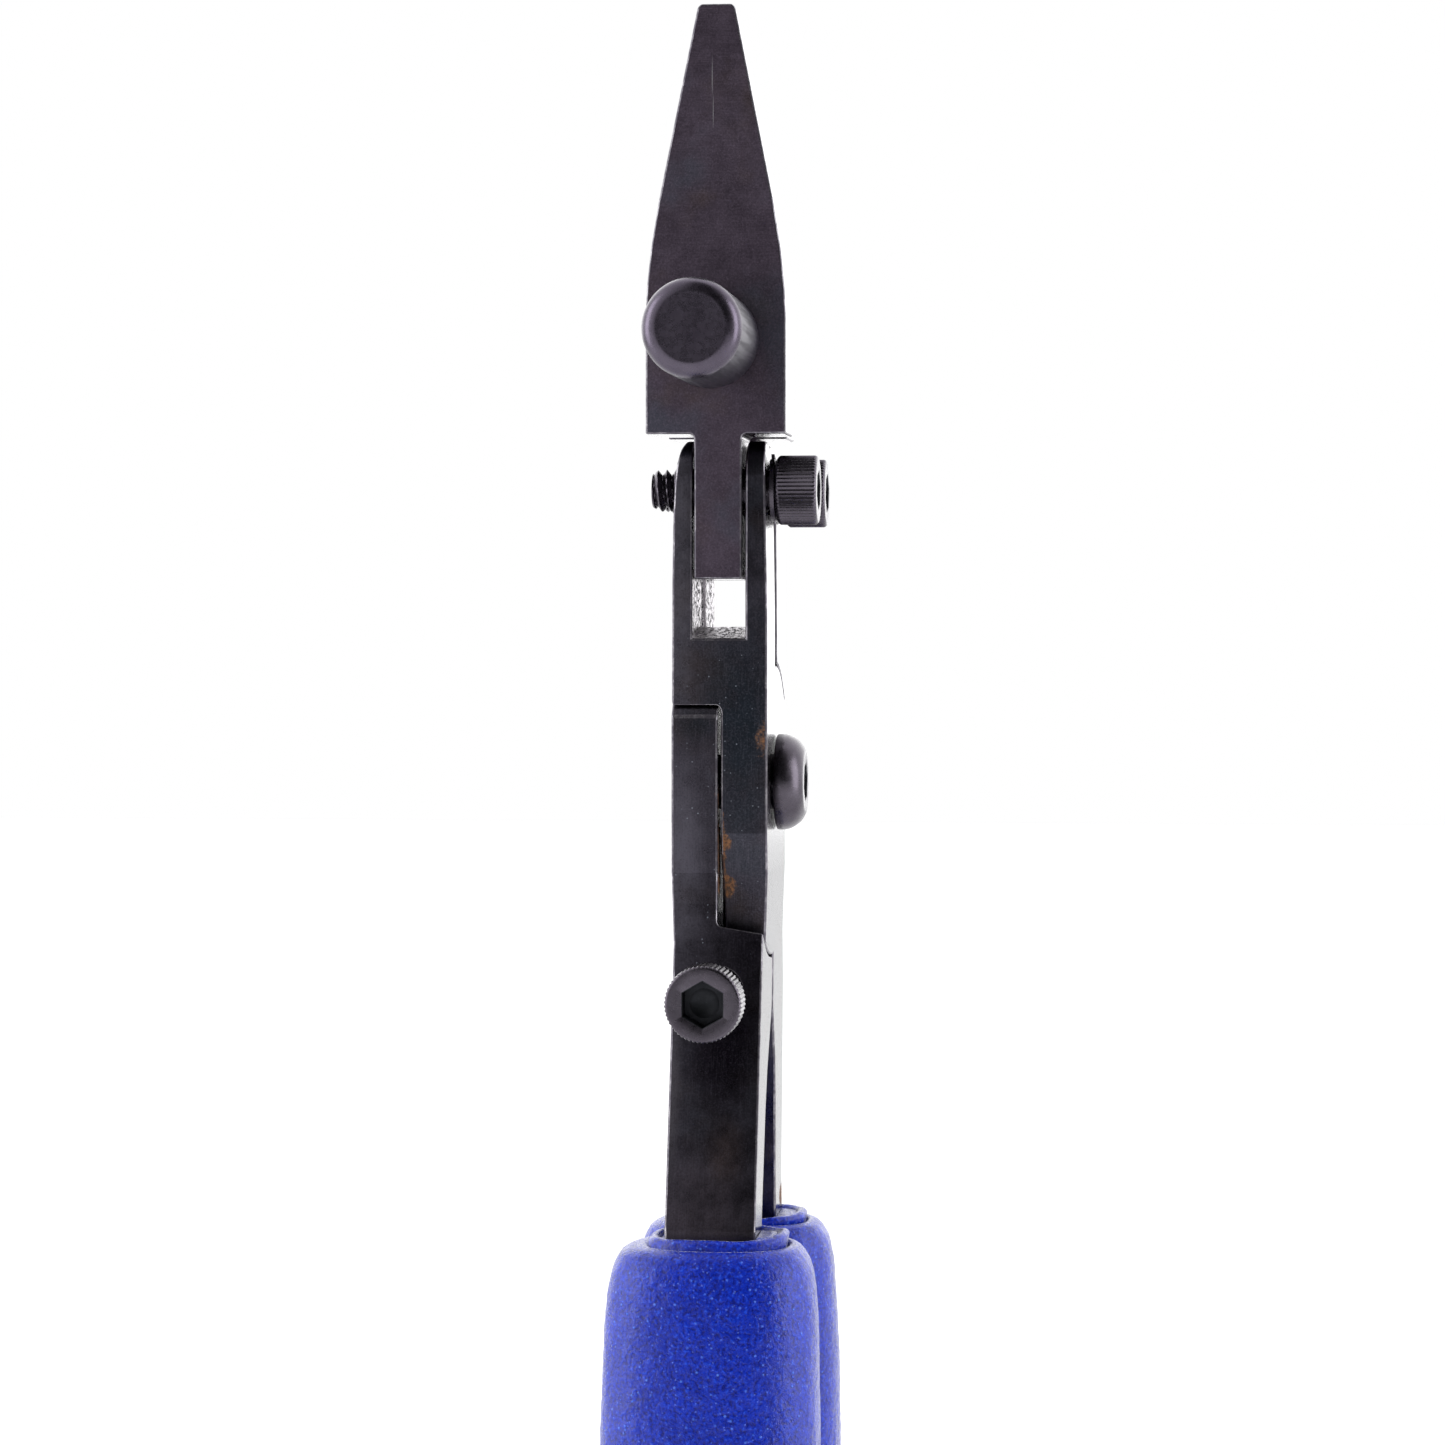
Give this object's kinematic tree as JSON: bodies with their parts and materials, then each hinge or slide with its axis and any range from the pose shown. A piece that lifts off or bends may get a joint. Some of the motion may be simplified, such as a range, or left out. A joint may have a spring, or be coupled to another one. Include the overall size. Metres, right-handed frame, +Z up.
{
  "type": "snap setter pliers",
  "caption": "Steel snap setter pliers with a lapped pivot joint, self-aligning tapered jaw inserts carrying setting dies, a stop screw and vinyl-dipped handles.",
  "frame": {"origin": "on the surface that the pliers stand on, under the middle of the whole tool, at the ends of the grips", "axes": "+Z up along the tool towards the jaw tips, X along the pivot screw with the screw heads at +X, -Y towards the front jaw"},
  "size_m": [0.0258, 0.0638, 0.2406],
  "materials": {
    "lever_steel": "matte black oxide on machined steel, with a little rust in the lap joint",
    "insert_steel": "black oxide over fine cross-ground steel",
    "screw_steel": "satin black oxide on alloy steel screws",
    "die_steel": "satin dark hardened steel",
    "die_cushion": "matte amber urethane",
    "blue_vinyl": "speckled blue dipped vinyl with an orange-peel surface"
  },
  "bodies": {
    "rear_lever": {"rear_jaw_lever": "lever_steel", "pivot_screw": "screw_steel", "rear_jaw_screw": "screw_steel", "rear_lock_washer": "screw_steel", "front_grip_liner": "blue_vinyl", "front_grip": "blue_vinyl"},
    "front_lever": {"front_jaw_lever": "lever_steel", "front_jaw_screw": "screw_steel", "front_lock_washer": "screw_steel", "rear_grip_liner": "blue_vinyl", "rear_grip": "blue_vinyl"},
    "front_insert": {"front_jaw_insert": "insert_steel", "front_die": "die_steel", "front_die_cushion": "die_cushion", "front_die_knob": "screw_steel"},
    "rear_insert": {"rear_jaw_insert": "insert_steel", "rear_die": "die_steel", "rear_die_post": "die_steel", "rear_die_knob": "screw_steel"},
    "stop": {"stop_screw": "screw_steel"}
  },
  "joints": [
    {"name": "jaw_pivot", "type": "hinge", "parent": "rear_lever", "child": "front_lever", "pos_m": [0.0005, 0, 0.152], "axis": [1, 0, 0], "range_deg": [-2.5, 30]},
    {"name": "front_insert_tilt", "type": "hinge", "parent": "front_lever", "child": "front_insert", "pos_m": [0.0005, -0.00575, 0.1856], "axis": [1, 0, 0], "range_deg": [-3, 3]},
    {"name": "rear_insert_tilt", "type": "hinge", "parent": "rear_lever", "child": "rear_insert", "pos_m": [0.0005, 0.00575, 0.1856], "axis": [1, 0, 0], "range_deg": [-3, 3]},
    {"name": "stop_screw_travel", "type": "slide", "parent": "rear_lever", "child": "stop", "axis": [0, -1, 0], "range_m": [0, 0.006]}
  ]
}
